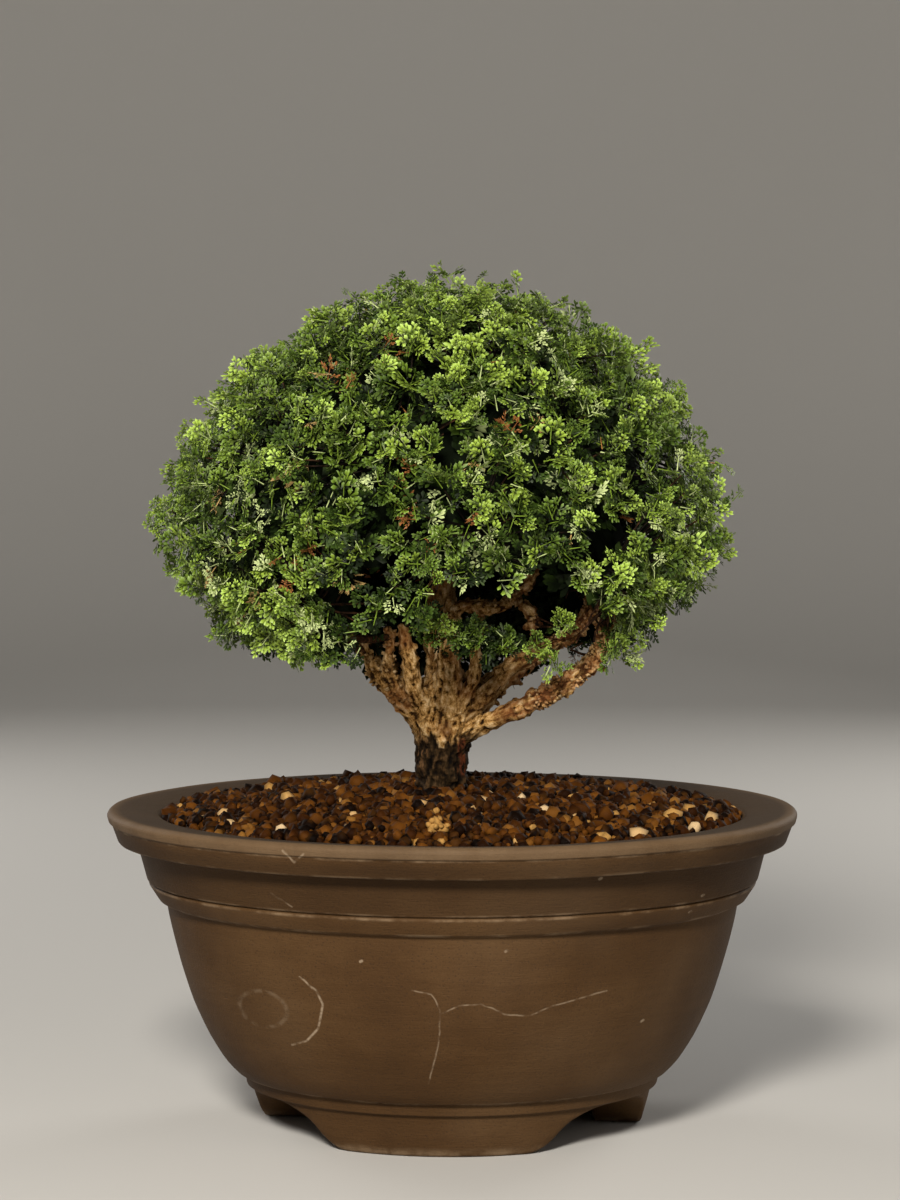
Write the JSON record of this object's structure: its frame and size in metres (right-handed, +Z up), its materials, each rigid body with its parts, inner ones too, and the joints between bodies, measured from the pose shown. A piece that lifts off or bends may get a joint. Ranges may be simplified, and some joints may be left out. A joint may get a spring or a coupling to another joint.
{
  "type": "hinoki cypress bonsai",
  "caption": "Small hinoki cypress with a broad domed crown of flat lobed sprays on a fanned, short trunk, in a round brown bowl on cut-out feet filled with mounded gravel.",
  "frame": {"origin": "centre of the circle that the pot's feet stand on, at the ground", "axes": "+Z up along the trunk, -Y towards the front, where one foot of the pot is in the middle and the limbs show under the crown, +X to the right seen from the front"},
  "size_m": [0.3052, 0.3052, 0.3764],
  "materials": {
    "clay": "matte",
    "mesh_plastic": "matte",
    "gravel": "matte",
    "bark": "matte",
    "leaf_deep": "matte",
    "leaf_mid": "matte",
    "leaf_bright": "matte"
  },
  "bodies": {
    "root": {"pot": "clay", "drainage_mesh": "mesh_plastic", "soil": "gravel", "trunk_and_limbs": "bark", "leaf_head_01": "leaf_deep", "leaf_head_02": "leaf_mid", "leaf_head_03": "leaf_bright", "leaf_head_04": "leaf_deep", "leaf_head_05": "leaf_mid", "leaf_head_06": "leaf_bright", "leaf_head_07": "leaf_deep", "leaf_head_08": "leaf_mid", "leaf_head_09": "leaf_bright", "leaf_head_10": "leaf_deep", "leaf_head_11": "leaf_mid", "leaf_head_12": "leaf_bright", "leaf_head_13": "leaf_deep", "leaf_head_14": "leaf_mid", "leaf_head_15": "leaf_bright", "leaf_head_16": "leaf_deep", "leaf_head_17": "leaf_mid", "leaf_head_18": "leaf_bright", "leaf_head_19": "leaf_deep", "leaf_head_20": "leaf_mid"}
  },
  "joints": []
}
